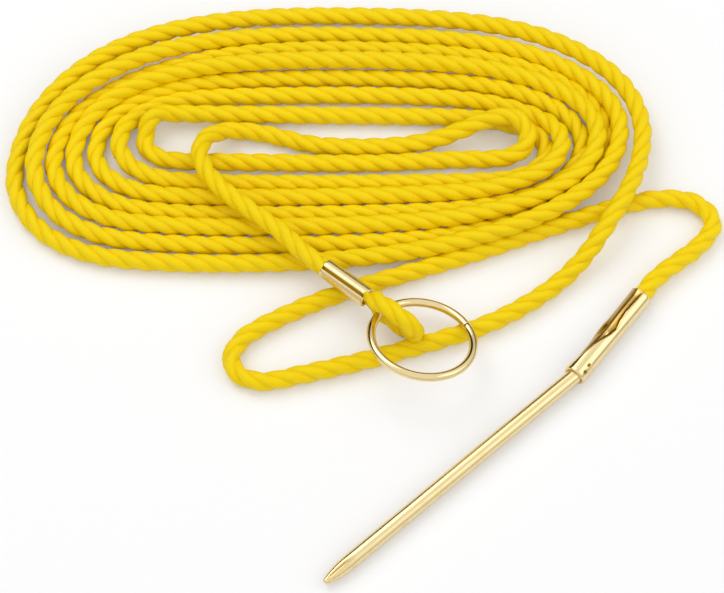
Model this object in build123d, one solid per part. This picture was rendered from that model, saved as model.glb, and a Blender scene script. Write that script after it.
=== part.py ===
"""Fish stringer: a coiled rope with a brass needle on one end and a brass ring on the other.

Millimetres, +Z up, +X to the right and -Y towards the viewer. The origin is the middle of the coil,
on the floor that it lies on. The rope leaves the coil at its right side, makes a free loop in front
and ends in the needle's socket. Its other end leaves the inside of the coil, crosses over the front
strands and ends in an eye that a sleeve holds round the ring.
"""

import os
from math import asin, cos, dist, pi, radians, sin, sqrt, tan

from build123d import *

# Rope
ROPE_D = 4.0
FLOOR_FLAT = 0.5
START_RUN = 6.0

# Coil: reaches of the innermost turn and the slack between neighbouring strands, for each side
COIL_TURNS = 7
COIL_RIGHT, RIGHT_SLACK = 37.9, 1.23
COIL_BACK, BACK_SLACK = 4.55, 0.74
COIL_LEFT, LEFT_SLACK = 38.7, 1.98
COIL_FRONT, FRONT_SLACK = 6.4, 0.52
RIGHT_Y, RIGHT_DRIFT = -1.75, 0.81
LEFT_Y = -2.1
BACK_X, BACK_SLANT = 11.3, 0.8
FRONT_X, FRONT_SLANT = -7.8, 1.3

# Coil: how full each corner of the innermost turn is, and how that changes from turn to turn
BACK_RIGHT_FULL, BACK_RIGHT_DRIFT = 0.785, -0.011
BACK_LEFT_FULL, BACK_LEFT_DRIFT = 0.835, -0.008
FRONT_LEFT_FULL, FRONT_LEFT_DRIFT = 0.82, -0.02
FRONT_RIGHT_FULL, FRONT_RIGHT_DRIFT = 0.763, -0.049

# Coil: every second turn is piled up on its neighbours at the front and right, sunk between them
PILE_SINK = 0.15

# Needle and its socket
NEEDLE_D = 3.5
NEEDLE_OUT = 75.0
BUTT_D = 2.6
NEEDLE_IN = 10.0
TIP_LENGTH = 7.0
TIP_D = 1.5
TIP_ROUND = 0.4
SOCKET_L = 26.0
SOCKET_WALL = 0.45
SOCKET_WAIST = 0.2
SOCKET_WAIST_AT = 15.0
SOCKET_LIP = 0.1
SOCKET_LIP_L = 1.5
SOCKET_FIT = 0.05
TAIL_IN = 13.0
MOUTH_X, MOUTH_Y = 71.7, -44.3
NEEDLE_HEADING = 223.8
FLEX_RUN = 7.0

# Ring
WIRE_D = 2.0
RING_OD = 25.4
RING_SEAM = 0.15
SEAM_ANGLE = 72.0
RING_PITCH = 5.0
RING_ROLL = 16.5

# Eye and its sleeve
EYE_X, EYE_Y, EYE_Z = 11.7, -49.8, 7.3
EYE_HEADING = -44.0
EYE_SLOPE = -5.0
EYE_CLEARANCE = 0.4
EYE_THROAT = 5.0
EYE_LEG = 0.4
BIGHT_REACH = 2.4
SLEEVE_L = 12.5
SLEEVE_WALL = 0.35
SLEEVE_FIT = 0.03
LEG_SPLIT = 0.2
TAIL_SHORT = 1.0
SLEEVE_GROOVE_W = 0.8
SLEEVE_GROOVE = 0.18
SLEEVE_GROOVE_AT = 136.0

ROPE_R = ROPE_D / 2
COIL_Z = ROPE_R - FLOOR_FLAT
SOCKET_R = ROPE_R + SOCKET_FIT + SOCKET_WALL
LIP_R = SOCKET_R + SOCKET_LIP
AXIS_Z = LIP_R
RING_R = (RING_OD - WIRE_D) / 2
LEG_Z = WIRE_D / 2 + EYE_CLEARANCE + ROPE_R
SLEEVE_BORE_R = ROPE_R + SLEEVE_FIT
UP = Vector(0, 0, 1)


def heading(angle, slope=0.0):
    """Unit vector at an angle from +X seen from above, rising by a slope, both in degrees."""
    level = cos(radians(slope))
    return Vector(level * cos(radians(angle)), level * sin(radians(angle)), sin(radians(slope)))


def rolled_plane(origin, x_dir, roll):
    """Plane whose X axis is x_dir and whose Z axis leans from straight up by a roll about it."""
    side = UP.cross(x_dir).normalized()
    lift = x_dir.cross(side)
    z_dir = lift * cos(radians(roll)) + side * sin(radians(roll))
    return Plane(origin=origin, x_dir=x_dir, z_dir=z_dir)


def run_radii(points):
    """Corner radii that leave a tenth of the shorter neighbouring run straight."""
    radii = []
    for before, corner, after in zip(points, points[1:], points[2:]):
        first, second = corner - before, after - corner
        turn = radians(first.get_angle(second))
        radii.append(0.45 * min(first.length, second.length) / tan(turn / 2))
    return radii


def rope_path(name, points):
    """Rounded polyline through hand-chosen points, with its radii printed."""
    radii = run_radii(points)
    print(f"{name}: radii", " ".join(f"{radius:.1f}" for radius in radii))
    return FilletPolyline(*points, radius=radii)


def rope_tube(name, path):
    """Rope swept along a path, with its volume checked against section times length."""
    start = Plane(origin=path @ 0, z_dir=path % 0)
    tube = sweep(start * Circle(ROPE_R), path=path)
    share = tube.volume / (pi * ROPE_R**2 * path.length)
    print(f"{name}: length {path.length:.1f}, volume over section times length {share:.4f}")
    return tube


def coil_station(quarter):
    """Point and direction of the coil's centre line after a number of quarter turns.

    The turns run from the outside in, counter-clockwise seen from above: right, back, left, front.
    """
    rank = COIL_TURNS - quarter / 4
    side = quarter % 4
    piled = side in (0, 3) and (quarter + 1) // 4 % 2 == 0
    z = COIL_Z + (ROPE_D - PILE_SINK if piled else 0)
    if side == 0:
        return Vector(COIL_RIGHT + (ROPE_D + RIGHT_SLACK) * rank, RIGHT_Y + RIGHT_DRIFT * rank, z), heading(90)
    if side == 1:
        return Vector(BACK_X, COIL_BACK + (ROPE_D + BACK_SLACK) * rank, z), heading(180 - BACK_SLANT * rank)
    if side == 2:
        return Vector(-COIL_LEFT - (ROPE_D + LEFT_SLACK) * rank, LEFT_Y, z), heading(270)
    return Vector(FRONT_X, -COIL_FRONT - (ROPE_D + FRONT_SLACK) * rank, z), heading(FRONT_SLANT * rank)


def corner_fullness(quarter):
    """Share of a corner's depth that its tight arc takes up."""
    inner, drift = [
        (BACK_RIGHT_FULL, BACK_RIGHT_DRIFT),
        (BACK_LEFT_FULL, BACK_LEFT_DRIFT),
        (FRONT_LEFT_FULL, FRONT_LEFT_DRIFT),
        (FRONT_RIGHT_FULL, FRONT_RIGHT_DRIFT),
    ][quarter % 4]
    return inner + drift * (COIL_TURNS - quarter / 4)


def quarter_turn(quarter):
    """Two tangent arcs from one coil station to the next, the tight one at the coil's end."""
    (start, start_dir), (end, end_dir) = coil_station(quarter), coil_station(quarter + 1)
    chord = end - start
    tight = corner_fullness(quarter) * abs(chord.Y)
    tight_first = quarter % 2 == 0
    tight_dir, wide_dir = (start_dir, end_dir) if tight_first else (end_dir, start_dir)
    spread = 1 - start_dir.dot(end_dir)
    wide = (chord.dot(chord) - 2 * tight * chord.dot(tight_dir)) / (2 * (chord.dot(wide_dir) + tight * spread))
    first, second = (tight, wide) if tight_first else (wide, tight)
    leave, arrive = start + start_dir * first, end - end_dir * second
    across = arrive - leave
    meet = leave + across * (first / (first + second))
    return [TangentArc(start, meet, tangent=start_dir), TangentArc(meet, end, tangent=across)]


def coil_edges():
    """Centre line of the coil, with a straight end of one rope diameter at each end."""
    last = 4 * COIL_TURNS + 1
    start, start_dir = coil_station(0)
    end, end_dir = coil_station(last)
    turns = [arc for quarter in range(last) for arc in quarter_turn(quarter)]
    return [Line(start - start_dir * ROPE_D, start)] + turns + [Line(end, end + end_dir * ROPE_D)]


def least_gap(path, spacing=1.0, skip=14):
    """Least gap between two stretches of the rope's coil, measured on points."""
    count = int(path.length / spacing)
    points = [tuple(path @ (i / count)) for i in range(count + 1)]
    nearest = min(dist(p, q) for i, p in enumerate(points) for q in points[i + skip:])
    return nearest - ROPE_D


def cut_flat(tube):
    """Tube with what reaches below the floor cut away."""
    box = tube.bounding_box()
    floor = Box(box.size.X + ROPE_D, box.size.Y + ROPE_D, ROPE_D, align=(Align.CENTER, Align.CENTER, Align.MAX))
    return tube - Pos(box.center().X, box.center().Y, 0) * floor


def rope_coil():
    """All the coil's turns as one tube, cut flat where it lies on the floor."""
    edges = coil_edges()
    path = Wire(edges)
    tightest = min(edge.radius for edge in edges if edge.geom_type == GeomType.CIRCLE)
    print(f"rope_coil: tightest radius {tightest:.2f}, least gap {least_gap(path):.2f}")
    return cut_flat(rope_tube("rope_coil", path))


NEEDLE_DIR = heading(NEEDLE_HEADING)
MOUTH = Vector(MOUTH_X, MOUTH_Y, AXIS_Z)
SOCKET_PLANE = Plane(origin=MOUTH, x_dir=UP, z_dir=NEEDLE_DIR)
FLEX_POINT = MOUTH - NEEDLE_DIR * FLEX_RUN

EYE = Vector(EYE_X, EYE_Y, EYE_Z)
EYE_DIR = heading(EYE_HEADING, EYE_SLOPE)
EYE_PLANE = rolled_plane(EYE, EYE_DIR, RING_ROLL)
RING_PLANE = rolled_plane(EYE, heading(EYE_HEADING, RING_PITCH), RING_ROLL)
SLEEVE_END = EYE - EYE_DIR * (EYE_THROAT + SLEEVE_L)

# Free loop, from the coil's outer end: over the strand that passes below it, under the ring,
# round the hairpin, under the sleeve and under its own start, to the bend in front of the needle
FREE_LOOP = [
    (72.6, -13.0, 7.8), (68.8, -20.6, 9.4), (64.0, -27.6, 9.4), (58.8, -33.6, 6.2), (53.0, -39.0, 3.2),
    (45.6, -45.0, 2.0), (35.0, -51.0, 2.0), (21.6, -55.6, 2.0), (7.0, -60.2, 2.0), (-7.0, -63.6, 2.0),
    (-18.0, -66.2, 2.0), (-24.5, -62.0, 2.0), (-23.0, -55.0, 2.0), (-14.0, -49.4, 2.0), (0.0, -43.2, 2.0),
    (17.0, -37.4, 2.0), (33.0, -32.2, 2.0), (48.0, -26.6, 2.0), (60.0, -22.0, 2.0), (70.0, -18.0, 2.0),
    (79.0, -16.0, 2.0), (87.5, -18.0, 2.0), (91.5, -25.0, 2.0), (87.9, -32.1, 2.2),
]

# Lead from the coil's inner end to the sleeve: across the opening, up and over the front strands
RING_LEAD = [
    (-4.0, 1.8, 1.8), (-12.0, 0.8, 2.1), (-19.0, 1.5, 2.5), (-25.0, 1.2, 3.5), (-29.8, -1.4, 6.0),
    (-31.8, -6.6, 8.8), (-30.4, -12.2, 10.4), (-26.4, -17.8, 11.0), (-20.0, -23.4, 11.0), (-12.8, -28.6, 10.4),
]


def bend_start():
    """Where the free loop ends and the bend in front of the needle begins."""
    last = Vector(*FREE_LOOP[-1])
    return FLEX_POINT + (last - FLEX_POINT).normalized() * FLEX_RUN


def rope_free_loop():
    """Rope from the coil's outer end round the free loop in front."""
    start, start_dir = coil_station(0)
    points = [start - start_dir * ROPE_D, start - start_dir * (ROPE_D + START_RUN)]
    points += [Vector(*point) for point in FREE_LOOP] + [bend_start()]
    return rope_tube("rope_free_loop", rope_path("rope_free_loop", points))


def rope_needle_bend():
    """Short stretch of rope in front of the socket, which bends when the needle swings."""
    points = [bend_start(), FLEX_POINT, MOUTH]
    return rope_tube("rope_needle_bend", rope_path("rope_needle_bend", points))


def rope_needle_tail():
    """Rope's end inside the socket."""
    return SOCKET_PLANE * extrude(Circle(ROPE_R), TAIL_IN)


def needle_socket():
    """Crimped tube that takes the rope's end on one side and the needle's butt on the other."""
    butt_r = BUTT_D / 2 + SOCKET_FIT
    bore_r = ROPE_R + SOCKET_FIT
    outline = Polyline(
        (bore_r, 0),
        (SOCKET_R, 0),
        (SOCKET_R - SOCKET_WAIST, SOCKET_WAIST_AT),
        (LIP_R, SOCKET_L - SOCKET_LIP_L),
        (LIP_R, SOCKET_L),
        (butt_r, SOCKET_L),
        (butt_r, SOCKET_L - NEEDLE_IN),
        (0, SOCKET_L - NEEDLE_IN),
        (0, TAIL_IN),
        (bore_r, TAIL_IN),
        close=True,
    )
    tube = revolve(Plane.XZ * make_face(outline), Axis.Z)
    return SOCKET_PLANE * tube


def needle():
    """Round rod with a curved taper and a blunt tip, its thinner butt inside the socket."""
    butt = SOCKET_L - NEEDLE_IN
    end = SOCKET_L + NEEDLE_OUT
    butt_r, shank_r, tip_r = BUTT_D / 2, NEEDLE_D / 2, TIP_D / 2
    taper_start, taper_end = (shank_r, end - TIP_LENGTH), (tip_r, end - TIP_ROUND)
    stem = Polyline((0, butt), (butt_r, butt), (butt_r, SOCKET_L), (shank_r, SOCKET_L), taper_start)
    taper = TangentArc(taper_start, taper_end, tangent=(0, 1))
    nose = Polyline(taper_end, (tip_r - TIP_ROUND, end), (0, end), (0, butt))
    rod = revolve(Plane.XZ * make_face([stem, taper, nose]), Axis.Z)
    return SOCKET_PLANE * rod


def rope_ring_lead():
    """Rope from the coil's inner end to the sleeve, cut flat where it leaves the coil."""
    end, end_dir = coil_station(4 * COIL_TURNS + 1)
    approach = SLEEVE_END - EYE_DIR * 2 * ROPE_D
    points = [end + end_dir * ROPE_D, end + end_dir * (ROPE_D + START_RUN)]
    points += [Vector(*point) for point in RING_LEAD] + [approach, SLEEVE_END]
    return cut_flat(rope_tube("rope_ring_lead", rope_path("rope_ring_lead", points)))


def half_section(x):
    """Half-round section of one squeezed leg, in the upper half of the sleeve's bore."""
    flat = LEG_SPLIT / 2
    half = sqrt(ROPE_R**2 - flat**2)
    rise = asin(flat / ROPE_R) / 2 + pi / 4
    low, high = ROPE_R * cos(rise), ROPE_R * sin(rise)
    edges = [
        ThreePointArc((half, flat), (low, high), (0, ROPE_R)),
        ThreePointArc((0, ROPE_R), (-low, high), (-half, flat)),
        Line((-half, flat), (0, flat)),
        Line((0, flat), (half, flat)),
    ]
    return Plane(origin=(x, 0, 0), x_dir=(0, 1, 0), z_dir=(1, 0, 0)) * make_face(edges)


def round_section(x):
    """Round section of one leg of the eye, in four arcs that match the half-round one."""
    slant = ROPE_R * sqrt(0.5)
    right, left = (ROPE_R, LEG_Z), (-ROPE_R, LEG_Z)
    top, bottom = (0, LEG_Z + ROPE_R), (0, LEG_Z - ROPE_R)
    edges = [
        ThreePointArc(right, (slant, LEG_Z + slant), top),
        ThreePointArc(top, (-slant, LEG_Z + slant), left),
        ThreePointArc(left, (-slant, LEG_Z - slant), bottom),
        ThreePointArc(bottom, (slant, LEG_Z - slant), right),
    ]
    return Plane(origin=(x, 0, 0), x_dir=(0, 1, 0), z_dir=(1, 0, 0)) * make_face(edges)


def eye_leg(length):
    """One leg of the eye: squeezed half-round in the sleeve, then widening to the round rope."""
    squeezed = extrude(half_section(-EYE_THROAT), length, dir=(-1, 0, 0))
    widening = loft([half_section(-EYE_THROAT), round_section(-EYE_LEG)], ruled=True)
    straight = extrude(round_section(-EYE_LEG), EYE_LEG + BIGHT_REACH, dir=(1, 0, 0))
    return squeezed + widening + straight


def rope_eye():
    """Rope's eye round the ring, from the sleeve's far end and back into it."""
    turn = Location((0, 0, 0), (180, 0, 0))
    section = Plane(origin=(BIGHT_REACH, 0, LEG_Z), z_dir=(1, 0, 0)) * Circle(ROPE_R)
    half_turn = ThreePointArc((BIGHT_REACH, 0, LEG_Z), (BIGHT_REACH + LEG_Z, 0, 0), (BIGHT_REACH, 0, -LEG_Z))
    bight = sweep(section, path=half_turn)
    upper = eye_leg(SLEEVE_L)
    lower = turn * eye_leg(SLEEVE_L - TAIL_SHORT)
    return EYE_PLANE.location * (upper + bight + lower)


def ring_sleeve():
    """Tube crimped over the eye's two legs, with the press mark that runs along it."""
    outer = SLEEVE_BORE_R + SLEEVE_WALL
    place = Plane(origin=(-EYE_THROAT - SLEEVE_L, 0, 0), x_dir=(0, 1, 0), z_dir=(1, 0, 0))
    tube = extrude(Circle(outer) - Circle(SLEEVE_BORE_R), SLEEVE_L)
    groove = Pos(outer, 0, SLEEVE_L / 2) * Box(2 * SLEEVE_GROOVE, SLEEVE_GROOVE_W, 2 * SLEEVE_L)
    return EYE_PLANE.location * (place * (tube - Rot(0, 0, SLEEVE_GROOVE_AT) * groove))


def ring():
    """Wire ring through the eye, with the seam where its two ends butt together."""
    seam = Box(2 * WIRE_D, RING_SEAM, 2 * WIRE_D)
    wire = Torus(RING_R, WIRE_D / 2) - Rot(0, 0, SEAM_ANGLE) * Pos(RING_R, 0, 0) * seam
    return RING_PLANE.location * (Pos(RING_R, 0, 0) * wire)


NODES = {
    "rope_coil": rope_coil,
    "rope_free_loop": rope_free_loop,
    "rope_needle_bend": rope_needle_bend,
    "rope_needle_tail": rope_needle_tail,
    "rope_ring_lead": rope_ring_lead,
    "rope_eye": rope_eye,
    "needle_socket": needle_socket,
    "needle": needle,
    "ring_sleeve": ring_sleeve,
    "ring": ring,
}

os.makedirs("parts", exist_ok=True)
for node, make in NODES.items():
    export_step(make(), f"parts/{node}.step")
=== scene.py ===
"""Looks of a fish stringer: a coiled yellow rope with a brass needle and a brass ring.

Meshes are in metres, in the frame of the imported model: +Z up, +X to the right and -Y towards the viewer.
Sizes in the classes below are millimetres, as on a drawing, and angles are degrees.
"""

import logging
from collections.abc import Callable
from dataclasses import dataclass, field
from enum import Enum
from math import atan2, cos, degrees, exp, pi, radians, sin
from typing import Any

import bmesh
import bpy
import numpy as np
from mathutils import Matrix, Vector


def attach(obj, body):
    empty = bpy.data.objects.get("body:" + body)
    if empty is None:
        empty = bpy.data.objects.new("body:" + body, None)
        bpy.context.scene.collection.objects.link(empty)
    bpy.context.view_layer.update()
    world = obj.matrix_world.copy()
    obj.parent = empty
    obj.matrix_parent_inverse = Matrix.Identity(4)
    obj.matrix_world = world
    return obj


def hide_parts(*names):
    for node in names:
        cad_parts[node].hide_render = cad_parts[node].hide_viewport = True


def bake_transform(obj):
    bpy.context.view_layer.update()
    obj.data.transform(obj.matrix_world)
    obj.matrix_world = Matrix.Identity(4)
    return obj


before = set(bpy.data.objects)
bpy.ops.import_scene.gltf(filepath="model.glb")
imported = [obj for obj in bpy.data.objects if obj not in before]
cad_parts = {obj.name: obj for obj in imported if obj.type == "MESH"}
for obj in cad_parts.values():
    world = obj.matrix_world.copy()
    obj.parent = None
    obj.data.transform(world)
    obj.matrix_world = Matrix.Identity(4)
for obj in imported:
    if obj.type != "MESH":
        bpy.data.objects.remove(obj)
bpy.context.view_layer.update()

Pair = tuple[float, float]
Point = tuple[float, float, float]
Colour = tuple[float, float, float, float]

MM = 0.001
NEEDLE_R = 1.75  # radius of the needle's shank, which the socket takes in
TOUCHING = 1e-5  # points of a turned shape that are nearer than this are one point
UNPRESSED = 0.1  # nearer than this to its bore or its ends, no tool presses a wall
WHITE: Colour = (1.0, 1.0, 1.0, 1.0)
LOG = logging.getLogger("fish_stringer")


class Body(Enum):
    """Bodies of the model that pieces ride on."""

    COIL = "coil"
    RING = "ring"
    NEEDLE = "needle"


class Slot(Enum):
    """Material slots of the record."""

    ROPE = "rope"
    BRASS = "brass"


class Space(Enum):
    """What a noise runs over: the surface of a strand, or the solid."""

    STRAND = "2D"
    SOLID = "3D"


def heading(angle: float, slope: float) -> Vector:
    """Unit vector at an angle from +X seen from above, rising by a slope.

    Args:
        angle: degrees from +X, counter-clockwise.
        slope: degrees above level.

    Returns:
        The unit vector.
    """
    level = cos(radians(slope))
    return Vector((level * cos(radians(angle)), level * sin(radians(angle)), sin(radians(slope))))


def rolled_frame(origin: Vector, x_dir: Vector, roll: float) -> Matrix:
    """Frame whose X axis is x_dir and whose Z axis leans from straight up by a roll about it.

    Args:
        origin: the frame's origin.
        x_dir: unit vector of its X axis.
        roll: degrees that its Z axis leans.

    Returns:
        The matrix from the frame to the model.
    """
    side = Vector((0, 0, 1)).cross(x_dir).normalized()
    lift = x_dir.cross(side)
    z_dir = lift * cos(radians(roll)) + side * sin(radians(roll))
    turn = Matrix((x_dir, z_dir.cross(x_dir), z_dir)).transposed()
    return Matrix.Translation(origin) @ turn.to_4x4()


def frame_along(start: Vector, end: Vector) -> Matrix:
    """Frame at a start whose Z axis points to an end and whose X axis points up.

    Args:
        start: the frame's origin.
        end: a point that is level with it or nearly so.

    Returns:
        The matrix from the frame to the model.
    """
    along = (end - start).normalized()
    side = along.cross(Vector((0, 0, 1))).normalized()
    turn = Matrix((side.cross(along), side, along)).transposed()
    return Matrix.Translation(start) @ turn.to_4x4()


def ease(value: float) -> float:
    """Smooth step from 0 to 1."""
    value = min(1.0, max(0.0, value))
    return value * value * (3 - 2 * value)


def bell(value: float, width: float) -> float:
    """Bell curve of height 1 that falls to 1/e at the width."""
    return exp(-((value / width) ** 2))


def mesh_of(curve: bpy.types.Curve) -> bpy.types.Mesh:
    """Mesh that Blender makes of a curve.

    Args:
        curve: the curve; it is removed.

    Returns:
        The mesh.
    """
    holder = bpy.data.objects.new(curve.name, curve)
    bpy.context.scene.collection.objects.link(holder)
    bpy.context.view_layer.update()
    mesh = bpy.data.meshes.new_from_object(holder)
    bpy.data.objects.remove(holder)
    bpy.data.curves.remove(curve)
    return mesh


def finished(name: str, shape: bmesh.types.BMesh, finish: bpy.types.Material) -> bpy.types.Object:
    """Turn a shape into a smooth piece with its finish.

    Args:
        name: the piece's name.
        shape: its geometry, in metres and in place; it is freed.
        finish: its material.

    Returns:
        The piece, linked to the scene.
    """
    mesh = bpy.data.meshes.new(name)
    for face in shape.faces:
        face.smooth = True
    shape.to_mesh(mesh)
    shape.free()
    mesh.materials.append(finish)
    piece = bpy.data.objects.new(name, mesh)
    bpy.context.scene.collection.objects.link(piece)
    return piece


def turned(outline: list[Pair], steps: int, closed: bool = False) -> bmesh.types.BMesh:
    """Shape turned about Z from an outline of radius and height.

    Args:
        outline: radii and heights in millimetres, along the outline.
        steps: facets round the turn.
        closed: whether the outline's last point joins its first.

    Returns:
        The shape, in millimetres.
    """
    shape = bmesh.new()
    corners = [shape.verts.new((radius, 0, height)) for radius, height in outline]
    edges = [shape.edges.new(pair) for pair in zip(corners, corners[1:])]
    if closed:
        edges.append(shape.edges.new((corners[-1], corners[0])))
    bmesh.ops.spin(
        shape, geom=corners + edges, cent=(0, 0, 0), axis=(0, 0, 1), dvec=(0, 0, 0),
        angle=2 * pi, steps=steps, use_merge=True, use_duplicate=False,
    )
    bmesh.ops.remove_doubles(shape, verts=shape.verts, dist=TOUCHING)
    bmesh.ops.recalc_face_normals(shape, faces=shape.faces)
    return shape


def press(shape: bmesh.types.BMesh, tool: Callable[[float, float, float], Pair]) -> None:
    """Press a turned shape's wall inwards and mark its stains and painted shade.

    Args:
        shape: a shape turned about Z, in millimetres.
        tool: gives the depth, and the stain and painted shade, at a radius, an angle in degrees and a height.
    """
    layer = shape.verts.layers.float.new("pressed")
    for vert in shape.verts:
        radius = vert.co.xy.length
        if radius < TOUCHING:
            continue
        depth, stain_and_shade = tool(radius, degrees(atan2(vert.co.y, vert.co.x)), vert.co.z)
        vert.co.xy *= (radius - depth) / radius
        vert[layer] = stain_and_shade


class Value:
    """A number that varies over a surface; arithmetic on it adds Math nodes."""

    def __init__(self, nodes: "NodeTree", socket: bpy.types.NodeSocket) -> None:
        """Wrap a socket of a node tree."""
        self.nodes = nodes
        self.socket = socket

    def _math(self, operation: str, first: Any, second: Any) -> "Value":
        """Math node on two values.

        Args:
            operation: the node's operation.
            first: a Value or a number.
            second: a Value or a number.

        Returns:
            The node's result.
        """
        node = self.nodes.node("ShaderNodeMath", {"operation": operation}, {0: first, 1: second})
        return Value(self.nodes, node.outputs[0])

    def __add__(self, other: Any) -> "Value":
        """Sum."""
        return self._math("ADD", self, other)

    def __radd__(self, other: Any) -> "Value":
        """Sum, reflected."""
        return self._math("ADD", other, self)

    def __sub__(self, other: Any) -> "Value":
        """Difference."""
        return self._math("SUBTRACT", self, other)

    def __rsub__(self, other: Any) -> "Value":
        """Difference, reflected."""
        return self._math("SUBTRACT", other, self)

    def __mul__(self, other: Any) -> "Value":
        """Product."""
        return self._math("MULTIPLY", self, other)

    def __rmul__(self, other: Any) -> "Value":
        """Product, reflected."""
        return self._math("MULTIPLY", other, self)

    def __pow__(self, other: Any) -> "Value":
        """Power."""
        return self._math("POWER", self, other)

    def __rpow__(self, other: Any) -> "Value":
        """Power, reflected."""
        return self._math("POWER", other, self)


class NodeTree:
    """A shader's nodes, for a material or for the world."""

    def __init__(self, tree: bpy.types.NodeTree) -> None:
        """Start with an empty tree.

        Args:
            tree: the material's or the world's tree.
        """
        self.tree = tree
        self.tree.nodes.clear()

    def node(self, kind: str, settings: dict[str, Any], inputs: dict[Any, Any]) -> bpy.types.Node:
        """Add a node.

        Args:
            kind: the node's type.
            settings: its settings, and a ramp's stops under "stops".
            inputs: values or links of its sockets, by name or number.

        Returns:
            The node.
        """
        node = self.tree.nodes.new(kind)
        for name, setting in settings.items():
            if name == "stops":
                self.set_stops(node.color_ramp.elements, setting)
            else:
                setattr(node, name, setting)
        for name, value in inputs.items():
            socket = node.inputs[name]
            if isinstance(value, Value):
                self.tree.links.new(value.socket, socket)
            elif isinstance(value, bpy.types.NodeSocket):
                self.tree.links.new(value, socket)
            else:
                socket.default_value = value
        return node

    @staticmethod
    def set_stops(elements: Any, stops: list[tuple[float, tuple[float, ...]]]) -> None:
        """Give a ramp its stops.

        Args:
            elements: the ramp's elements.
            stops: positions and colours, from low to high.
        """
        while len(elements) < len(stops):
            elements.new(1.0)
        for element, (position, colour) in zip(elements, stops):
            element.position = position
            element.color = (*colour, 1.0)

    def value(self, kind: str, settings: dict[str, Any], inputs: dict[Any, Any], output: Any = 0) -> Value:
        """Add a node and wrap one of its outputs.

        Args:
            kind: the node's type.
            settings: its settings.
            inputs: values or links of its sockets.
            output: the output's name or number.

        Returns:
            The wrapped output.
        """
        return Value(self, self.node(kind, settings, inputs).outputs[output])

    def mix(self, factor: Any, low: Any, high: Any) -> bpy.types.NodeSocket:
        """Mix two colours.

        Args:
            factor: share of the second colour.
            low: first colour.
            high: second colour.

        Returns:
            The mixed colour's socket.
        """
        settings = {"data_type": "RGBA", "clamp_factor": True}
        return self.node("ShaderNodeMix", settings, {0: factor, 6: low, 7: high}).outputs[2]


class Finish(NodeTree):
    """A material and the nodes that make it."""

    def __init__(self, name: str) -> None:
        """Start a material without nodes.

        Args:
            name: the material's name.
        """
        self.material = bpy.data.materials.new(name)
        self.material.use_nodes = True
        super().__init__(self.material.node_tree)

    def surface(self, shader: bpy.types.NodeSocket) -> None:
        """Send a shader to the output."""
        self.node("ShaderNodeOutputMaterial", {}, {"Surface": shader})

    def noise(self, place: bpy.types.NodeSocket, scale: float, detail: float, space: Space) -> Value:
        """Add a noise texture.

        Args:
            place: the coordinates that it reads.
            scale: its scale.
            detail: its detail.
            space: what it runs over.

        Returns:
            The noise, about 0 to 1.
        """
        inputs = {"Vector": place, "Scale": scale, "Detail": detail}
        return self.value("ShaderNodeTexNoise", {"noise_dimensions": space.value}, inputs)

    def bump(self, height: Value, strength: float, depth: float) -> bpy.types.NodeSocket:
        """Add a bump.

        Args:
            height: what stands proud.
            strength: share of the full effect.
            depth: millimetres from low to high.

        Returns:
            The bumped normal's socket.
        """
        inputs = {"Strength": strength, "Distance": depth * MM, "Height": height}
        return self.node("ShaderNodeBump", {}, inputs).outputs[0]


@dataclass(frozen=True)
class RopeFinish:
    """Yellow polypropylene film yarn: satin, streaked along its fibres, with painted shade between the
    strands.

    A fibre or cloud tint is a share of the paler colour, the share in the grooves is how far their painted
    shade goes towards the deep colour, fibre_lean is turns to the metre, and a name that ends in rough is
    what its pattern adds to the roughness.
    """

    yellow: Colour = (0.86, 0.59, 0.0, 1.0)
    pale: Colour = (0.97, 0.76, 0.0, 1.0)
    # colour of the painted shade in the grooves between the strands
    deep: Colour = (0.80, 0.42, 0.0, 1.0)
    fibres_round: float = 46.0
    fibre_length: float = 5.0
    fibre_lean: float = 52.0
    fibre_detail: float = 3.0
    fibre_tint: float = 0.6
    fibre_relief: float = 0.35
    fibre_depth: float = 0.12
    cloud_scale: float = 160.0
    cloud_detail: float = 2.0
    cloud_tint: float = 0.25
    # painted shade in the grooves: how it grows with their depth, and its share of the deep colour
    groove_power: float = 1.5
    groove_shade_share: float = 0.6
    roughness: float = 0.30
    fibre_rough: float = 0.16
    groove_rough: float = 0.2
    gloss: float = 0.15

    def make(self) -> bpy.types.Material:
        """Build the material; it reads the strand's own UV map and its groove attribute.

        Returns:
            The material.
        """
        finish = Finish("rope_yarn")
        uv = finish.node("ShaderNodeUVMap", {"uv_map": "UVMap"}, {}).outputs[0]
        parts = finish.node("ShaderNodeSeparateXYZ", {}, {0: uv})
        around, along = Value(finish, parts.outputs[0]), Value(finish, parts.outputs[1])
        across = (around + along * self.fibre_lean) * self.fibres_round
        length = along * (1 / (self.fibre_length * MM))
        on_strand = finish.node("ShaderNodeCombineXYZ", {}, {0: across, 1: length}).outputs[0]
        fibre = finish.noise(on_strand, 1.0, self.fibre_detail, Space.STRAND)
        place = finish.node("ShaderNodeTexCoord", {}, {}).outputs["Object"]
        cloud = finish.noise(place, self.cloud_scale, self.cloud_detail, Space.SOLID)
        groove = finish.value("ShaderNodeAttribute", {"attribute_name": "groove"}, {}, "Fac")
        tint = finish.mix(fibre * self.fibre_tint + cloud * self.cloud_tint, self.yellow, self.pale)
        shader = finish.node(
            "ShaderNodeBsdfPrincipled",
            {},
            {
                # painted shade: the yarn's colour goes deeper in the grooves between the strands
                "Base Color": finish.mix(groove**self.groove_power * self.groove_shade_share, tint, self.deep),
                "Roughness": fibre * self.fibre_rough + self.roughness + groove * self.groove_rough,
                "Specular IOR Level": self.gloss,
                "Normal": finish.bump(fibre, self.fibre_relief, self.fibre_depth),
            },
        )
        finish.surface(shader.outputs[0])
        return finish.material


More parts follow.
